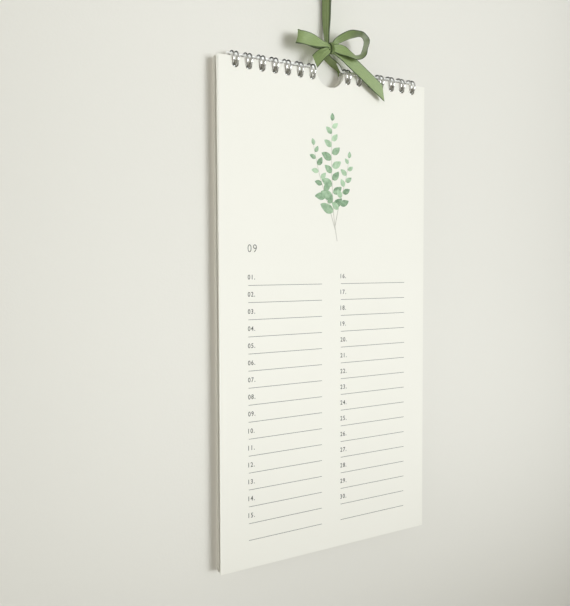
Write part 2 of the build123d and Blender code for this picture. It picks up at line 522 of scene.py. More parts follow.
def spline(points: list[Vector], closeness: int = 12) -> list[Vector]:
    """Points along a smooth NURBS line with the given control points.

    Args:
        points: The control points.
        closeness: How many points each stretch is given.

    Returns:
        The points that the line passes.
    """
    curve = bpy.data.curves.new("line", "CURVE")
    curve.dimensions = "3D"
    curve.resolution_u = closeness
    line = curve.splines.new("NURBS")
    line.points.add(len(points) - 1)
    for point, place in zip(line.points, points):
        point.co = (*place, 1.0)
    line.order_u = 3
    line.use_endpoint_u = True
    holder = bpy.data.objects.new("line", curve)
    mesh = bpy.data.meshes.new_from_object(holder)
    places = [vertex.co.copy() for vertex in mesh.vertices]
    bpy.data.meshes.remove(mesh)
    bpy.data.curves.remove(curve)
    return places


@dataclass
class Strip:
    """A thin flat band that follows a line: a ribbon, a leaf or a pen stroke."""

    centres: list[Vector]
    across: list[Vector]
    widths: list[float]
    thickness: float
    columns: int = 6
    pleats: list[float] = field(default_factory=list)
    pleat_count: float = 2.5
    selvage: float = 0.0
    slants: tuple[float, float] = (0.0, 0.0)
    slant_reach: float = 0.006
    closed: bool = False

    def tangent(self, index: int) -> Vector:
        """The direction of the line at a section."""
        last = len(self.centres) - 1
        before = index - 1 if index or self.closed else 0
        after = (index + 1) % (last + 1) if self.closed else min(index + 1, last)
        return (self.centres[after] - self.centres[before]).normalized()

    def runs(self) -> list[float]:
        """How far along the line each section lies."""
        done = [0.0]
        for first, second in zip(self.centres, self.centres[1:]):
            done.append(done[-1] + (second - first).length)
        return done

    def section(self, index: int, run: float, total: float) -> list[Vector]:
        """The closed outline of one section, its front side first.

        Args:
            index: The section's place in the line.
            run: How far along the line it lies.
            total: The line's length.

        Returns:
            Its points.
        """
        along = self.tangent(index)
        wide = self.across[index] - along * self.across[index].dot(along)
        wide.normalize()
        up = along.cross(wide)
        pleat = self.pleats[index] if self.pleats else 0.0
        front, back = [], []
        for column in range(self.columns + 1):
            side = 2 * column / self.columns - 1
            slant = self.slants[0] * max(0.0, 1 - run / self.slant_reach)
            slant += self.slants[1] * max(0.0, 1 - (total - run) / self.slant_reach)
            wave = pleat * math.cos(math.pi * self.pleat_count * side)
            middle = self.centres[index] + wide * (side * self.widths[index] / 2) + up * wave + along * (slant * side)
            half = self.thickness / 2 * (1 + self.selvage * (abs(side) > 0.9))
            front.append(middle + up * half)
            back.append(middle - up * half)
        return front + back[::-1]

    def mesh(self, name: str) -> bpy.types.Mesh:
        """Builds the band as one closed shell, with a UV map across and along it in its own sizes.

        Args:
            name: The mesh's name.

        Returns:
            The mesh.
        """
        runs = self.runs()
        form = bmesh.new()
        layer = form.loops.layers.uv.new("cloth")
        rings = []
        for index, run in enumerate(runs):
            rings.append([form.verts.new(p) for p in self.section(index, run, runs[-1])])
        count = 2 * (self.columns + 1)
        share = [column / self.columns for column in range(self.columns + 1)]
        share += share[::-1]
        reach = max(self.widths)
        pairs = list(zip(range(len(rings) - 1), range(1, len(rings))))
        if self.closed:
            pairs.append((len(rings) - 1, 0))
        for first, second in pairs:
            for k in range(count):
                after = (k + 1) % count
                face = form.faces.new((rings[first][k], rings[first][after], rings[second][after], rings[second][k]))
                end = runs[second] if second else runs[-1]
                places = ((k, runs[first]), (after, runs[first]), (after, end), (k, end))
                for loop, (column, run) in zip(face.loops, places):
                    loop[layer].uv = (share[column] * reach, run)
        if not self.closed:
            form.faces.new(rings[0][::-1])
            form.faces.new(rings[-1])
        bmesh.ops.recalc_face_normals(form, faces=form.faces)
        made = bpy.data.meshes.new(name)
        form.to_mesh(made)
        form.free()
        return made


@dataclass
class SheetPack:
    """A pack of punched card sheets with a half-round thumb cut in the top edge."""

    node: str
    body: Body
    sheets: int
    lean: float
    shift: float
    seed: int
    width: float = 0.148
    height: float = 0.297
    pitch: float = 0.0003
    thickness: float = 0.00027
    hole_radius: float = 0.0021
    hole_to_top: float = 0.0042
    loop_pitch: float = 0.0254 / 3
    slots: int = 16
    left_out: int = 2
    thumb_radius: float = 0.00975
    edge_round: float = 0.00003
    grid: float = 0.011

    def __post_init__(self) -> None:
        """Takes the pack's place from the frame."""
        low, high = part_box(self.node)
        self.top = high.z
        self.front = low.y
        self.back = high.y

    def hole_places(self) -> list[float]:
        """X of each punched hole."""
        middle = (self.slots - 1) / 2
        skipped = range((self.slots - self.left_out) // 2, (self.slots + self.left_out) // 2)
        return [(slot - middle) * self.loop_pitch for slot in range(self.slots) if slot not in skipped]

    def outline(self) -> list[list[tuple[float, float]]]:
        """The sheet's outline and its holes, with the top edge at height 0."""
        half = self.width / 2
        arc = [math.pi * step / 28 for step in range(29)]
        edge = [(-half, -self.height), (half, -self.height), (half, 0.0)]
        edge += [(self.thumb_radius * math.cos(a), -self.thumb_radius * math.sin(a)) for a in arc]
        edge.append((-half, 0.0))
        turns = [2 * math.pi * step / 26 for step in range(26)]
        loops = [edge]
        for x in self.hole_places():
            ring = [(x + self.hole_radius * math.cos(a), self.hole_radius * math.sin(a) - self.hole_to_top)
                    for a in turns]
            loops.append(ring)
        return loops

    def sheet(self) -> bpy.types.Mesh:
        """One sheet, in the plane Y = 0 with its top edge at the pack's top.

        Returns:
            The mesh, cut by a grid.
        """
        curve = bpy.data.curves.new("sheet", "CURVE")
        curve.dimensions = "2D"
        curve.fill_mode = "BOTH"
        curve.extrude = self.thickness / 2 - self.edge_round
        curve.bevel_depth = self.edge_round
        curve.bevel_resolution = 0
        for loop in self.outline():
            line = curve.splines.new("POLY")
            line.points.add(len(loop) - 1)
            for point, (x, z) in zip(line.points, loop):
                point.co = (x, z, 0.0, 1.0)
            line.use_cyclic_u = True
        made = Shop.flatten(Shop.place("sheet", curve))
        form = bmesh.new()
        form.from_mesh(made)
        bmesh.ops.remove_doubles(form, verts=form.verts, dist=self.edge_round / 20)
        for axis, size, start in ((Vector((1, 0, 0)), self.width, -self.width / 2),
                                  (Vector((0, 1, 0)), self.height, -self.height)):
            steps = round(size / self.grid)
            for step in range(1, steps):
                geometry = form.verts[:] + form.edges[:] + form.faces[:]
                place = axis * (start + size * step / steps)
                bmesh.ops.bisect_plane(form, geom=geometry, plane_co=place, plane_no=axis, dist=1e-7)
        form.transform(Matrix.Translation((0, 0, self.top)) @ Matrix.Rotation(math.pi / 2, 4, "X"))
        bmesh.ops.recalc_face_normals(form, faces=form.faces)
        form.to_mesh(made)
        form.free()
        return made

    @staticmethod
    def stack_tree() -> bpy.types.NodeTree:
        """Geometry Nodes that lay copies of a sheet behind each other, none quite in line.

        Returns:
            The tree.
        """
        if "sheet_stack" in bpy.data.node_groups:
            return bpy.data.node_groups["sheet_stack"]
        tree = bpy.data.node_groups.new("sheet_stack", "GeometryNodeTree")
        face = tree.interface
        face.new_socket("Geometry", in_out="OUTPUT", socket_type="NodeSocketGeometry")
        face.new_socket("Geometry", in_out="INPUT", socket_type="NodeSocketGeometry")
        face.new_socket("Count", in_out="INPUT", socket_type="NodeSocketInt")
        for label in ("Start", "Pitch", "Lean", "Shift", "Vary", "Margin", "Half Width", "Middle"):
            face.new_socket(label, in_out="INPUT", socket_type="NodeSocketFloat")
        face.new_socket("Seed", in_out="INPUT", socket_type="NodeSocketInt")
        face.new_socket("Material", in_out="INPUT", socket_type="NodeSocketMaterial")
        nodes = Nodes(tree)
        into = nodes.add("NodeGroupInput").outputs
        start = nodes.add("ShaderNodeCombineXYZ", {1: into["Start"]}).outputs[0]
        step = nodes.add("ShaderNodeCombineXYZ", {1: into["Pitch"]}).outputs[0]
        line = nodes.add("GeometryNodeMeshLine", {"Count": into["Count"], "Start Location": start, "Offset": step})
        copies = nodes.add("GeometryNodeInstanceOnPoints", {"Points": line.outputs[0], "Instance": into["Geometry"]})
        index = nodes.add("GeometryNodeInputIndex").outputs[0]
        geometry = copies.outputs[0]
        for label, base, offset in (("lean", "Lean", 0), ("shift", "Shift", 7), ("drop", "Vary", 13)):
            seed = nodes.math("ADD", into["Seed"], float(offset))
            chance = nodes.add("FunctionNodeRandomValue", {"ID": index, "Seed": seed}, data_type="FLOAT")
            spread = nodes.math("MULTIPLY", nodes.math("SUBTRACT", chance.outputs[1], 0.5), into["Vary"])
            scaled = nodes.math("MULTIPLY", nodes.math("ADD", spread, 1.0), into[base])
            value = spread if label == "drop" else scaled
            stored = nodes.add("GeometryNodeStoreNamedAttribute",
                               {"Geometry": geometry, "Name": label, "Value": value},
                               data_type="FLOAT", domain="INSTANCE")
            geometry = stored.outputs[0]
        real = nodes.add("GeometryNodeRealizeInstances", {0: geometry}).outputs[0]
        place = nodes.add("ShaderNodeSeparateXYZ", {0: nodes.add("GeometryNodeInputPosition").outputs[0]}).outputs
        named = {}
        for label in ("lean", "shift", "drop"):
            named[label] = nodes.add("GeometryNodeInputNamedAttribute", {"Name": label}, data_type="FLOAT").outputs[0]
        inner = nodes.math("SUBTRACT", into["Half Width"], into["Margin"])
        margin = nodes.ramp(nodes.math("ABSOLUTE", place[0]), inner, into["Half Width"])
        slope = nodes.math("MULTIPLY", named["lean"], nodes.math("SUBTRACT", place[2], into["Middle"]))
        move = nodes.math("MULTIPLY", nodes.math("ADD", slope, named["shift"]), margin)
        below = nodes.math("SUBTRACT", into["Middle"], place[2])
        low = nodes.ramp(below, 0.05, 0.149)
        drop = nodes.math("MULTIPLY", nodes.math("MULTIPLY", named["drop"], low), 0.0005)
        offset = nodes.add("ShaderNodeCombineXYZ", {0: move, 2: drop}).outputs[0]
        moved = nodes.add("GeometryNodeSetPosition", {"Geometry": real, "Offset": offset}).outputs[0]
        dressed = nodes.add("GeometryNodeSetMaterial", {"Geometry": moved, "Material": into["Material"]})
        nodes.add("NodeGroupOutput", {0: dressed.outputs[0]})
        return tree

    def build(self, first: int) -> bpy.types.Object:
        """Builds the sheets as one piece.

        Args:
            first: The place of the first sheet in the pack, where others stand for those before it.

        Returns:
            The piece.
        """
        values = {
            "Count": self.sheets - first,
            "Start": self.front + (first + 0.5) * self.pitch,
            "Pitch": self.pitch,
            "Lean": self.lean,
            "Shift": self.shift,
            "Vary": 0.5,
            "Margin": 0.008,
            "Half Width": self.width / 2,
            "Middle": self.top - self.height / 2,
            "Seed": self.seed,
            "Material": Shop.material(CARD),
        }
        mesh = Shop.grow(self.sheet(), self.stack_tree(), values)
        return Shop.finish(self.node + "_sheets", mesh, None, self.body, Slot.CARD)

    def top_sheet(self) -> bpy.types.Object:
        """Builds the sheet in view.

        Returns:
            The piece.
        """
        mesh = self.sheet()
        mesh.transform(Matrix.Translation((0, self.front + self.pitch / 2, 0)))
        return Shop.finish("page_in_view", mesh, CARD, self.body, Slot.CARD)


@dataclass
class PagePrint:
    """The print on a page: its month and day numbers and the lines to write on."""

    body: Body
    front: float
    top: float
    month: int
    days: int
    rows: int = 16
    columns: tuple[float, float] = (-0.0559, 0.0079)
    line_length: float = 0.0499
    line_width: float = 0.00026
    first_line: float = 0.1305
    row_pitch: float = 0.0100
    day_height: float = 0.0028
    day_above_line: float = 0.0034
    month_height: float = 0.0045
    month_below_top: float = 0.1112
    thickness: float = 0.00006

    def number(self, text: str, x: float, z: float, height: float, thin: float) -> bpy.types.Mesh:
        """Printed figures.

        Args:
            text: The figures.
            x: Their left edge.
            z: The line that they stand on.
            height: Their height.
            thin: How much is taken off each stroke's sides, as a share of the height.

        Returns:
            The mesh.
        """
        words = bpy.data.curves.new("figures", "FONT")
        words.body = text
        words.size = height / 0.73
        words.space_character = 1.22
        words.extrude = self.thickness / 2
        words.offset = -thin * height
        words.resolution_u = 6
        mesh = Shop.flatten(Shop.place("figures", words))
        left = min(v.co.x for v in mesh.vertices)
        low = min(v.co.y for v in mesh.vertices)
        tall = max(v.co.y for v in mesh.vertices) - low
        scale = height / tall
        turn = Matrix.Translation((x, self.front, z)) @ Matrix.Rotation(math.pi / 2, 4, "X")
        mesh.transform(turn @ Matrix.Diagonal((0.86 * scale, scale, 1, 1)) @ Matrix.Translation((-left, -low, 0)))
        return mesh

    def join(self, meshes: list[bpy.types.Mesh]) -> bpy.types.Mesh:
        """Joins meshes into one and merges what meets.

        Args:
            meshes: The meshes, which are removed.

        Returns:
            The joined mesh.
        """
        form = bmesh.new()
        for mesh in meshes:
            form.from_mesh(mesh)
            bpy.data.meshes.remove(mesh)
        bmesh.ops.remove_doubles(form, verts=form.verts, dist=1e-7)
        made = bpy.data.meshes.new("print")
        form.to_mesh(made)
        form.free()
        return made

    def figures(self, name: str) -> bpy.types.Object:
        """Builds the month and the days.

        Args:
            name: The piece's name.

        Returns:
            The piece.
        """
        month_z = self.top - self.month_below_top
        meshes = [self.number(f"{self.month:02d}", self.columns[0] - 0.0003, month_z, self.month_height, 0.014)]
        for day in range(1, self.days + 1):
            column, row = divmod(day - 1, self.rows - 1)
            if column > 1:
                column, row = 1, self.rows - 1
            z = self.top - self.first_line - row * self.row_pitch + self.day_above_line
            meshes.append(self.number(f"{day:02d}.", self.columns[column] - 0.0003, z, self.day_height, -0.016))
        return Shop.finish(name, self.join(meshes), INK, self.body, Slot.CARD)

    @staticmethod
    def rulings_tree() -> bpy.types.NodeTree:
        """Geometry Nodes that rule two columns of lines.

        Returns:
            The tree.
        """
        if "rulings" in bpy.data.node_groups:
            return bpy.data.node_groups["rulings"]
        tree = bpy.data.node_groups.new("rulings", "GeometryNodeTree")
        face = tree.interface
        face.new_socket("Geometry", in_out="OUTPUT", socket_type="NodeSocketGeometry")
        face.new_socket("Geometry", in_out="INPUT", socket_type="NodeSocketGeometry")
        face.new_socket("Rows", in_out="INPUT", socket_type="NodeSocketInt")
        for label in ("Size", "First", "Column Step", "Row Step"):
            face.new_socket(label, in_out="INPUT", socket_type="NodeSocketVector")
        face.new_socket("Material", in_out="INPUT", socket_type="NodeSocketMaterial")
        nodes = Nodes(tree)
        into = nodes.add("NodeGroupInput").outputs
        bar = nodes.add("GeometryNodeMeshCube", {"Size": into["Size"]}).outputs[0]
        column = nodes.add("GeometryNodeMeshLine", {"Count": 2, "Start Location": into["First"],
                                                    "Offset": into["Column Step"]})
        rows = nodes.add("GeometryNodeMeshLine", {"Count": into["Rows"], "Offset": into["Row Step"]})
        grid = nodes.add("GeometryNodeInstanceOnPoints", {"Points": column.outputs[0], "Instance": rows.outputs[0]})
        spots = nodes.add("GeometryNodeRealizeInstances", {0: grid.outputs[0]}).outputs[0]
        bars = nodes.add("GeometryNodeInstanceOnPoints", {"Points": spots, "Instance": bar}).outputs[0]
        real = nodes.add("GeometryNodeRealizeInstances", {0: bars}).outputs[0]
        dressed = nodes.add("GeometryNodeSetMaterial", {"Geometry": real, "Material": into["Material"]})
        nodes.add("NodeGroupOutput", {0: dressed.outputs[0]})
        return tree

    def lines(self, name: str) -> bpy.types.Object:
        """Builds the lines to write on.

        Args:
            name: The piece's name.

        Returns:
            The piece.
        """
        first = Vector((self.columns[0] + self.line_length / 2, self.front, self.top - self.first_line))
        values = {
            "Rows": self.rows,
            "Size": (self.line_length, self.thickness, self.line_width),
            "First": first,
            "Column Step": (self.columns[1] - self.columns[0], 0.0, 0.0),
            "Row Step": (0.0, 0.0, -self.row_pitch),
            "Material": Shop.material(INK),
        }
        mesh = Shop.grow(bpy.data.meshes.new("lines"), self.rulings_tree(), values)
        return Shop.finish(name, mesh, None, self.body, Slot.CARD)


@dataclass(frozen=True)
class Branch:
    """One painted stem, its points in millimetres right of the middle and below the top edge."""

    points: tuple[tuple[float, float], ...]
    leaves: int
    leaf_length: float
    spread: float
    seed: int


@dataclass
class Sprig:
    """A painted bunch of round-leaved stems that rise from one tie."""

    body: Body
    front: float
    top: float
    thickness: float = 0.00006
    stem_width: float = 0.00042
    branches: tuple[Branch, ...] = (
        Branch(((5.0, -104), (2.4, -90), (1.6, -74), (0.6, -52), (1.2, -30)), 15, 9.0, 50.0, 3),
        Branch(((3.6, -97), (-0.4, -84), (-4.4, -74), (-9.6, -58), (-12.0, -46)), 11, 7.2, 52.0, 8),
        Branch(((3.4, -95), (5.6, -84), (8.8, -74), (12.4, -62), (13.6, -52)), 10, 6.6, 50.0, 21),
    )

    def leaf(self, length: float) -> bpy.types.Mesh:
        """A round leaf that stands on its stalk, at the origin.

        Args:
            length: The leaf's length.

        Returns:
            The mesh.
        """
        steps = 14
        centres, widths = [], []
        for step in range(steps + 1):
            share = step / steps
            centres.append(Vector((0.05 * length * math.sin(math.pi * share), 0, length * (0.06 + 0.94 * share))))
            widths.append(length * (0.03 + 0.60 * math.sin(math.pi * share**0.85) ** 0.8 * (1 - 0.18 * share)))
        return Strip(centres, [Vector((1, 0, 0))] * (steps + 1), widths, self.thickness, 6).mesh("leaf")

    @staticmethod
    def leaf_tree() -> bpy.types.NodeTree:
        """Geometry Nodes that set leaves in pairs along a stem, in the plane of the page.

        Returns:
            The tree.
        """
        if "leaves" in bpy.data.node_groups:
            return bpy.data.node_groups["leaves"]
        tree = bpy.data.node_groups.new("leaves", "GeometryNodeTree")
        face = tree.interface
        face.new_socket("Geometry", in_out="OUTPUT", socket_type="NodeSocketGeometry")
        face.new_socket("Geometry", in_out="INPUT", socket_type="NodeSocketGeometry")
        face.new_socket("Stem", in_out="INPUT", socket_type="NodeSocketObject")
        face.new_socket("Count", in_out="INPUT", socket_type="NodeSocketInt")
        for label in ("Spread", "Bare", "Layer"):
            face.new_socket(label, in_out="INPUT", socket_type="NodeSocketFloat")
        face.new_socket("Seed", in_out="INPUT", socket_type="NodeSocketInt")
        face.new_socket("Material", in_out="INPUT", socket_type="NodeSocketMaterial")
        nodes = Nodes(tree)
        into = nodes.add("NodeGroupInput").outputs
        stem = nodes.add("GeometryNodeObjectInfo", {"Object": into["Stem"]}).outputs["Geometry"]
        cut = nodes.add("GeometryNodeTrimCurve", {"Curve": stem, "Start": into["Bare"]}).outputs[0]
        spots = nodes.add("GeometryNodeCurveToPoints", {"Curve": cut, "Count": into["Count"]})
        index = nodes.add("GeometryNodeInputIndex").outputs[0]
        way = nodes.add("ShaderNodeSeparateXYZ", {0: spots.outputs["Tangent"]}).outputs
        lean = nodes.math("ARCTAN2", way[0], way[2])
        side = nodes.math("SUBTRACT", nodes.math("MULTIPLY", nodes.math("MODULO", index, 2.0), 2.0), 1.0)
        last = nodes.math("COMPARE", index, nodes.math("SUBTRACT", into["Count"], 1.0), 0.5)
        chances = []
        for offset in range(3):
            seed = nodes.math("ADD", into["Seed"], float(offset))
            chance = nodes.add("FunctionNodeRandomValue", {"ID": index, "Seed": seed}, data_type="FLOAT")
            chances.append(chance.outputs[1])
        wide = nodes.math("MULTIPLY", into["Spread"], nodes.math("ADD", nodes.math("MULTIPLY", chances[0], 0.5), 0.75))
        wide = nodes.math("MULTIPLY", wide, nodes.math("SUBTRACT", 1.0, last))
        turn = nodes.math("ADD", lean, nodes.math("MULTIPLY", side, wide))
        share = nodes.math("DIVIDE", index, into["Count"])
        size = nodes.math("SUBTRACT", 1.05, nodes.math("MULTIPLY", share, 0.45))
        size = nodes.math("MULTIPLY", size, nodes.math("ADD", nodes.math("MULTIPLY", chances[1], 0.3), 0.85))
        depth = nodes.math("MULTIPLY", index, into["Layer"])
        lifted = nodes.add("ShaderNodeCombineXYZ", {1: depth}).outputs[0]
        raised = nodes.add("GeometryNodeSetPosition", {"Geometry": spots.outputs["Points"], "Offset": lifted})
        turned = nodes.add("ShaderNodeCombineXYZ", {1: turn}).outputs[0]
        placed = nodes.add("GeometryNodeInstanceOnPoints",
                           {"Points": raised.outputs[0], "Instance": into["Geometry"], "Rotation": turned,
                            "Scale": size})
        toned = nodes.add("GeometryNodeStoreNamedAttribute",
                          {"Geometry": placed.outputs[0], "Name": "tone", "Value": chances[2]},
                          data_type="FLOAT", domain="INSTANCE")
        real = nodes.add("GeometryNodeRealizeInstances", {0: toned.outputs[0]}).outputs[0]
        dressed = nodes.add("GeometryNodeSetMaterial", {"Geometry": real, "Material": into["Material"]})
        nodes.add("NodeGroupOutput", {0: dressed.outputs[0]})
        return tree

    def stem_line(self, branch: Branch) -> list[Vector]:
        """The smooth line of a stem on the page."""
        return spline([Vector((x * MM, self.front, self.top + z * MM)) for x, z in branch.points])

    def stem_curve(self, line: list[Vector]) -> bpy.types.Object:
        """The stem as a curve that the leaves can follow."""
        curve = bpy.data.curves.new("stem", "CURVE")
        curve.dimensions = "3D"
        poly = curve.splines.new("POLY")
        poly.points.add(len(line) - 1)
        for point, place in zip(poly.points, line):
            point.co = (*place, 1.0)
        return Shop.place("stem", curve)

    def build(self, name: str) -> None:
        """Builds the stems and leaves.

        Args:
            name: The start of the pieces' names.
        """
        stems, leaves = [], []
        for number, branch in enumerate(self.branches):
            line = self.stem_line(branch)
            widths = [self.stem_width * (1.2 - 0.8 * step / len(line)) for step in range(len(line))]
            stems.append(Strip(line, [Vector((1, 0, 0))] * len(line), widths, self.thickness, 2).mesh("stem"))
            follow = self.stem_curve(line)
            values = {
                "Stem": follow,
                "Count": branch.leaves,
                "Spread": math.radians(branch.spread),
                "Bare": 0.24,
                "Layer": -0.000003,
                "Seed": branch.seed,
                "Material": Shop.material(LEAF),
            }
            mesh = Shop.grow(self.leaf(branch.leaf_length * MM), self.leaf_tree(), values)
            mesh.transform(Matrix.Translation((0, -0.00001 * (number + 1), 0)))
            leaves.append(mesh)
            bpy.data.objects.remove(follow)
        printed = PagePrint(self.body, self.front, self.top, 1, 1)
        stem_mesh = printed.join(stems)
        leaf_mesh = self.join_leaves(leaves)
        Shop.finish(name + "_stems", stem_mesh, STEM, self.body, Slot.CARD)
        Shop.finish(name + "_leaves", leaf_mesh, None, self.body, Slot.CARD)

    def join_leaves(self, meshes: list[bpy.types.Mesh]) -> bpy.types.Mesh:
        """Joins the leaves of all stems, and keeps their tone."""
        parts = [Shop.place("leaves", mesh) for mesh in meshes]
        with bpy.context.temp_override(active_object=parts[0], selected_editable_objects=parts):
            bpy.ops.object.join()
        return Shop.flatten(parts[0])


@dataclass(frozen=True)
class Station:
    """A point of the ribbon's route, in millimetres, with the way that its width lies."""

    at: Triple
    across: Triple
    gather: float = 0.0


@dataclass
class Ribbon:
    """The satin ribbon: tail, right bow, hang loop, turn behind the hanger, left bow and long tail."""

    width: float = 0.0079
    thickness: float = 0.00022
    gathered_width: float = 0.34
    pleat_height: float = 0.00042
    rail: float = 0.01
    length: float = 0.29
    stations: tuple[Station, ...] = (
        Station((-13.0, -6.3, -46.6), (-0.28, 0.58, 0.77)),
        Station((-9.0, -7.0, -41.6), (-0.19, 0.57, 0.80)),
        Station((-4.4, -6.8, -38.5), (-0.17, 0.44, 0.88), 0.5),
        Station((-1.5, -4.8, -36.1), (-0.15, 0.12, 0.98), 1.0),
        Station((2.8, -5.9, -36.2), (0.03, 0.21, 0.98), 0.3),
        Station((8.1, -6.2, -36.7), (0.12, 0.32, 0.94)),
        Station((12.1, -6.8, -38.6), (0.28, 0.62, 0.73)),
        Station((16.5, -7.7, -40.4), (0.34, 0.73, 0.60)),
        Station((20.9, -8.0, -38.0), (0.26, 0.79, 0.56)),
        Station((22.4, -8.2, -33.8), (0.24, 0.90, 0.38)),
        Station((23.5, -8.5, -29.7), (0.10, 0.96, 0.25)),
        Station((22.3, -8.2, -26.9), (0.19, 0.96, 0.18)),
        Station((20.1, -7.8, -25.4), (0.35, 0.94, -0.01)),
        Station((16.4, -7.2, -25.7), (0.60, 0.79, -0.13)),
        Station((11.7, -6.5, -26.4), (0.61, 0.73, -0.31)),
        Station((7.5, -5.2, -28.6), (0.68, 0.69, -0.24), 0.1),
        Station((3.5, -3.9, -31.3), (0.73, 0.57, -0.38), 0.6),
        Station((1.5, -3.5, -34.2), (0.79, 0.48, -0.38), 1.0),
        Station((-0.8, -2.2, -35.0), (0.26, 0.96, 0.06), 1.0),
        Station((-1.5, -1.0, -32.4), (-0.04, 1.00, -0.01), 0.8),
        Station((-0.8, 0.8, -26.6), (-0.05, 1.00, 0.00), 0.45),
        Station((-1.0, 0.9, -16.0), (-0.32, 0.95, 0.00), 0.35),
        Station((-0.7, 0.9, -5.6), (-0.34, 0.94, 0.00), 0.3),
        Station((-2.7, -0.1, 1.3), (0.06, 1.00, 0.00), 0.12),
        Station((2.7, -0.1, 1.3), (-0.02, 1.00, 0.00), 0.12),
        Station((0.8, 0.9, -5.5), (0.07, 1.00, 0.00), 0.16),
        Station((0.8, 0.9, -16.1), (-0.01, 1.00, 0.00), 0.3),
        Station((0.4, 0.6, -26.0), (0.00, 1.00, 0.02), 0.7),
        Station((-0.4, 1.7, -35.7), (-0.74, 0.66, -0.11), 0.8),
        Station((-0.3, 1.8, -39.7), (0.02, 1.00, -0.09), 0.25),
        Station((5.7, 2.7, -43.5), (-0.12, 0.96, -0.26)),
        Station((9.1, 3.5, -45.4), (0.04, 0.99, -0.14)),
        Station((11.6, 4.2, -48.0), (0.14, 0.98, -0.13), 0.35),
        Station((9.3, 4.8, -45.2), (0.02, 0.99, -0.17), 0.35),
        Station((6.6, 4.0, -44.2), (0.04, 1.00, -0.07), 0.35),
        Station((-3.1, 3.4, -35.0), (-0.62, 0.13, -0.78), 0.8),
        Station((-1.0, -1.1, -33.7), (0.38, 0.18, 0.91), 1.0),
        Station((-8.2, -1.6, -33.5), (0.07, 0.05, 1.00)),
        Station((-15.7, -1.9, -31.7), (0.13, 0.02, 0.99)),
        Station((-21.9, -2.8, -32.3), (0.16, 0.12, 0.98)),
        Station((-24.7, -5.1, -33.0), (0.23, 0.09, 0.97)),
        Station((-23.4, -6.8, -33.5), (0.10, 0.03, 1.00)),
        Station((-18.7, -7.6, -34.1), (0.00, -0.05, 1.00)),
        Station((-12.2, -7.7, -35.0), (0.18, 0.27, 0.95)),
        Station((-7.8, -6.9, -35.2), (0.39, 0.42, 0.82), 0.6),
        Station((-3.0, -5.9, -35.0), (0.20, 0.55, 0.81), 1.0),
        Station((-0.3, -5.2, -37.1), (0.22, -0.09, 0.97), 1.0),
        Station((6.3, -4.8, -39.0), (0.68, 0.24, 0.69), 0.45),
        Station((11.7, -6.1, -41.9), (0.67, -0.04, 0.75)),
        Station((20.9, -6.5, -48.0), (0.71, 0.01, 0.70)),
        Station((29.0, -6.9, -53.8), (0.70, 0.00, 0.71)),
        Station((37.5, -6.6, -59.1), (0.72, 0.00, 0.70)),
    )

    def band(self) -> Strip:
        """The ribbon's band along its whole route.

        Returns:
            The strip.
        """
        centres = spline([mm(s.at) for s in self.stations])
        rails = spline([mm(s.at) + Vector(s.across).normalized() * self.rail for s in self.stations])
        gathers = spline([Vector((s.gather, index, 0)) for index, s in enumerate(self.stations)])
        across = [rail - centre for rail, centre in zip(rails, centres)]
        widths = [self.width * (1 - (1 - self.gathered_width) * g.x) for g in gathers]
        pleats = [self.pleat_height * g.x for g in gathers]
        return Strip(centres, across, widths, self.thickness, 24, pleats, 3.0, 0.5, (0.0028, -0.0036), 0.007)

    def knot(self) -> bpy.types.Object:
        """The turn of ribbon that holds the bow.

        Returns:
            The piece.
        """
        centre = mm((-0.5, -4.5, -36.2))
        tall, deep = 0.0031, 0.0022
        centres, across, widths, pleats = [], [], [], []
        for step in range(48):
            angle = 2 * math.pi * step / 48
            lean = 0.0006 * math.cos(angle)
            centres.append(centre + Vector((-lean, deep * math.sin(angle), tall * math.cos(angle))))
            across.append(Vector((1, 0, 0.2)))
            widths.append(0.0021 + 0.0003 * math.cos(2 * angle))
            pleats.append(0.00026 + 0.0001 * math.sin(3 * angle))
        strip = Strip(centres, across, widths, 0.0003, 16, pleats, 2.6, 0.4, closed=True)
        return Shop.finish("ribbon_knot", strip.mesh("ribbon_knot"), SATIN, Body.BINDING, Slot.RIBBON, 60)

    def build(self) -> None:
        strip = self.band()
        knot = self.knot()
        piece = Shop.place("ribbon_band", strip.mesh("ribbon_band"))
        piece.data.materials.append(Shop.material(SATIN))
        piece.data.shade_smooth()
        piece.data.set_sharp_from_angle(angle=math.radians(50))
        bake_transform(piece)
        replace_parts(piece, "ribbon")
        LOG.info("ribbon_band: %.0f mm long, %d faces", strip.runs()[-1] * 1000, len(piece.data.polygons))


class WireWork:
    """The two lengths of twin-loop wire and the hanger, which keep their own solids."""

    finishes = {
        "binding_wire_left": (LOOPS, Slot.LOOPS),
        "binding_wire_right": (LOOPS, Slot.LOOPS),
        "hanger": (ROD, Slot.HANGER),
    }

    def build(self) -> None:
        """Gives the wires their finishes."""
        for name, (finish, slot) in self.finishes.items():
            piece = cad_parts[name]
            if not piece.material_slots:
                piece.data.materials.append(None)
            for place in piece.material_slots:
                place.material = Shop.material(finish)
            LOG.info("%s: %s", name, finish.name)


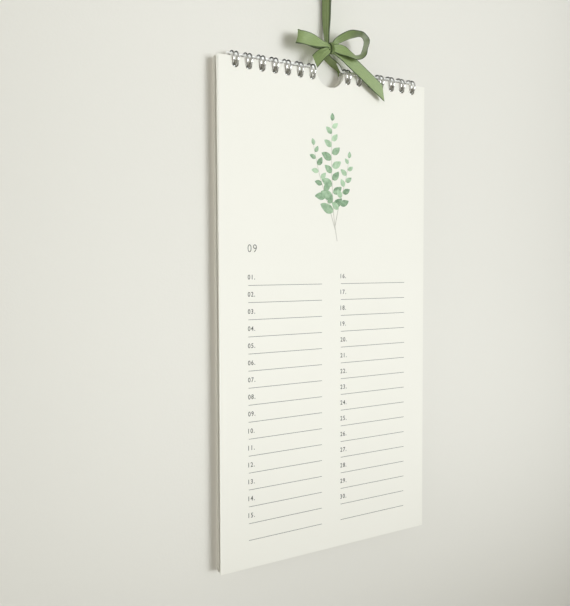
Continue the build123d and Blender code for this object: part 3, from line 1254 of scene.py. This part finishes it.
@dataclass
class Studio:
    """The wall, the floor, the lights and the camera."""

    wall_y: float = 0.0049
    wall_half: float = 2.4
    floor_z: float = -0.75
    eye: Triple = (-0.2054, -0.3325, -0.16772)
    turn: float = -27.79
    tilt: float = -1.8
    roll: float = -0.08
    lens: float = 37.01
    centre_shift: float = -20.1 / 606
    key_spread: float = 41.0
    low_air: tuple[float, float, float, float] = (0.50, 0.44, 0.36, 1.0)
    high_air: tuple[float, float, float, float] = (1.05, 1.05, 0.98, 1.0)
    air: float = 0.49

    def plane(self, name: str, centre: Vector, across: Vector, up: Vector, finish: Finish) -> bpy.types.Object:
        """Adds a flat stage piece.

        Args:
            name: Its name.
            centre: Its middle.
            across: From the middle to its right side.
            up: From the middle to its upper side.
            finish: Its finish.

        Returns:
            The piece.
        """
        mesh = bpy.data.meshes.new(name)
        corners = [centre - across - up, centre + across - up, centre + across + up, centre - across + up]
        mesh.from_pydata(corners, [], [(0, 1, 2, 3)])
        mesh.materials.append(Shop.material(finish))
        piece = Shop.place(name, mesh)
        return piece

    def light(self, name: str, place: Triple, aim: Triple, size: float, power: float,
              colour: Colour) -> bpy.types.Object:
        """Adds a soft square light.

        Args:
            name: Its name.
            place: Where it stands.
            aim: What it points at.
            size: Its side.
            power: Its power in watts.
            colour: Its colour.

        Returns:
            The light.
        """
        lamp = bpy.data.lights.new(name, "AREA")
        lamp.size = size
        lamp.energy = power
        lamp.color = colour
        piece = Shop.place(name, lamp)
        piece.location = place
        piece.rotation_euler = (Vector(aim) - Vector(place)).to_track_quat("-Z", "Y").to_euler()
        piece.visible_camera = False
        return piece

    def camera(self) -> None:
        """Adds the camera at the photograph's viewing angle."""
        lens = bpy.data.cameras.new("camera")
        lens.lens = self.lens
        lens.shift_y = self.centre_shift
        lens.clip_start = 0.01
        piece = Shop.place("camera", lens)
        yaw, pitch, roll = (math.radians(v) for v in (self.turn, self.tilt, self.roll))
        ahead = Vector((-math.sin(yaw) * math.cos(pitch), math.cos(yaw) * math.cos(pitch), math.sin(pitch)))
        right = Vector((math.cos(yaw), math.sin(yaw), 0))
        up = right.cross(ahead)
        level = math.cos(roll) * right + math.sin(roll) * up
        upright = math.cos(roll) * up - math.sin(roll) * right
        axes = Matrix((level, upright, -ahead)).transposed().to_4x4()
        piece.matrix_world = Matrix.Translation(self.eye) @ axes
        bpy.context.scene.camera = piece

    def build(self) -> None:
        """Builds the stage."""
        middle = Vector((0, self.wall_y, self.floor_z + self.wall_half))
        wall = self.plane("wall", middle, Vector((self.wall_half, 0, 0)), Vector((0, 0, self.wall_half)), PAINT)
        self.plane("floor", Vector((0, 0, self.floor_z)), Vector((self.wall_half, 0, 0)),
                   Vector((0, self.wall_half, 0)), FLOOR)
        key = self.light("window", (0.30, -0.58, -0.12), (0.012, 0.0, -0.100), 0.56, 0.905, (0.916, 0.960, 0.982))
        key.data.shape = "RECTANGLE"
        key.data.size_y = 0.64
        key.data.spread = math.radians(self.key_spread)
        self.light("fill", (-0.90, -0.36, -0.10), (0.0, 0.0, -0.10), 0.5, 1.3, (1.0, 1.0, 0.92))
        rear = self.light("rear", (0.35, 1.5, 0.25), (0.0, 0.0, -0.15), 1.0, 16.0, (1.0, 1.0, 1.0))
        let_through = bpy.data.collections.new("let_through")
        let_through.objects.link(wall)
        rear.light_linking.blocker_collection = let_through
        let_through.collection_objects[0].light_linking.link_state = "EXCLUDE"
        world = bpy.data.worlds.new("room")
        world.use_nodes = True
        nodes = Nodes(world.node_tree)
        way = nodes.add("ShaderNodeTexCoord").outputs["Generated"]
        height = nodes.ramp(nodes.add("ShaderNodeSeparateXYZ", {0: way}).outputs[2], -0.55, 0.35)
        air = world.node_tree.nodes["Background"]
        world.node_tree.links.new(nodes.mix(height, self.low_air, self.high_air), air.inputs["Color"])
        air.inputs["Strength"].default_value = self.air
        bpy.context.scene.world = world
        bpy.context.scene.view_settings.view_transform = "Standard"
        self.camera()


def main() -> None:
    """Builds the calendar and its stage."""
    logging.basicConfig(level=logging.INFO, format="%(name)s: %(message)s")
    WireWork().build()
    front = SheetPack("front_pages", Body.FRONT, 4, lean=-0.0038, shift=-0.0002, seed=4)
    turned = SheetPack("turned_pages", Body.TURNED, 9, lean=-0.0039, shift=0.00005, seed=11)
    page = front.top_sheet()
    hidden = front.build(1)
    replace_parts(page, "front_pages")
    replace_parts(hidden, "front_pages")
    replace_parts(turned.build(0), "turned_pages")
    printed = PagePrint(Body.FRONT, front.front, front.top, 9, 30)
    printed.figures("page_numbers")
    printed.lines("page_lines")
    Sprig(Body.FRONT, front.front, front.top).build("sprig")
    Ribbon().build()
    Studio().build()


if __name__ == "__main__":
    main()
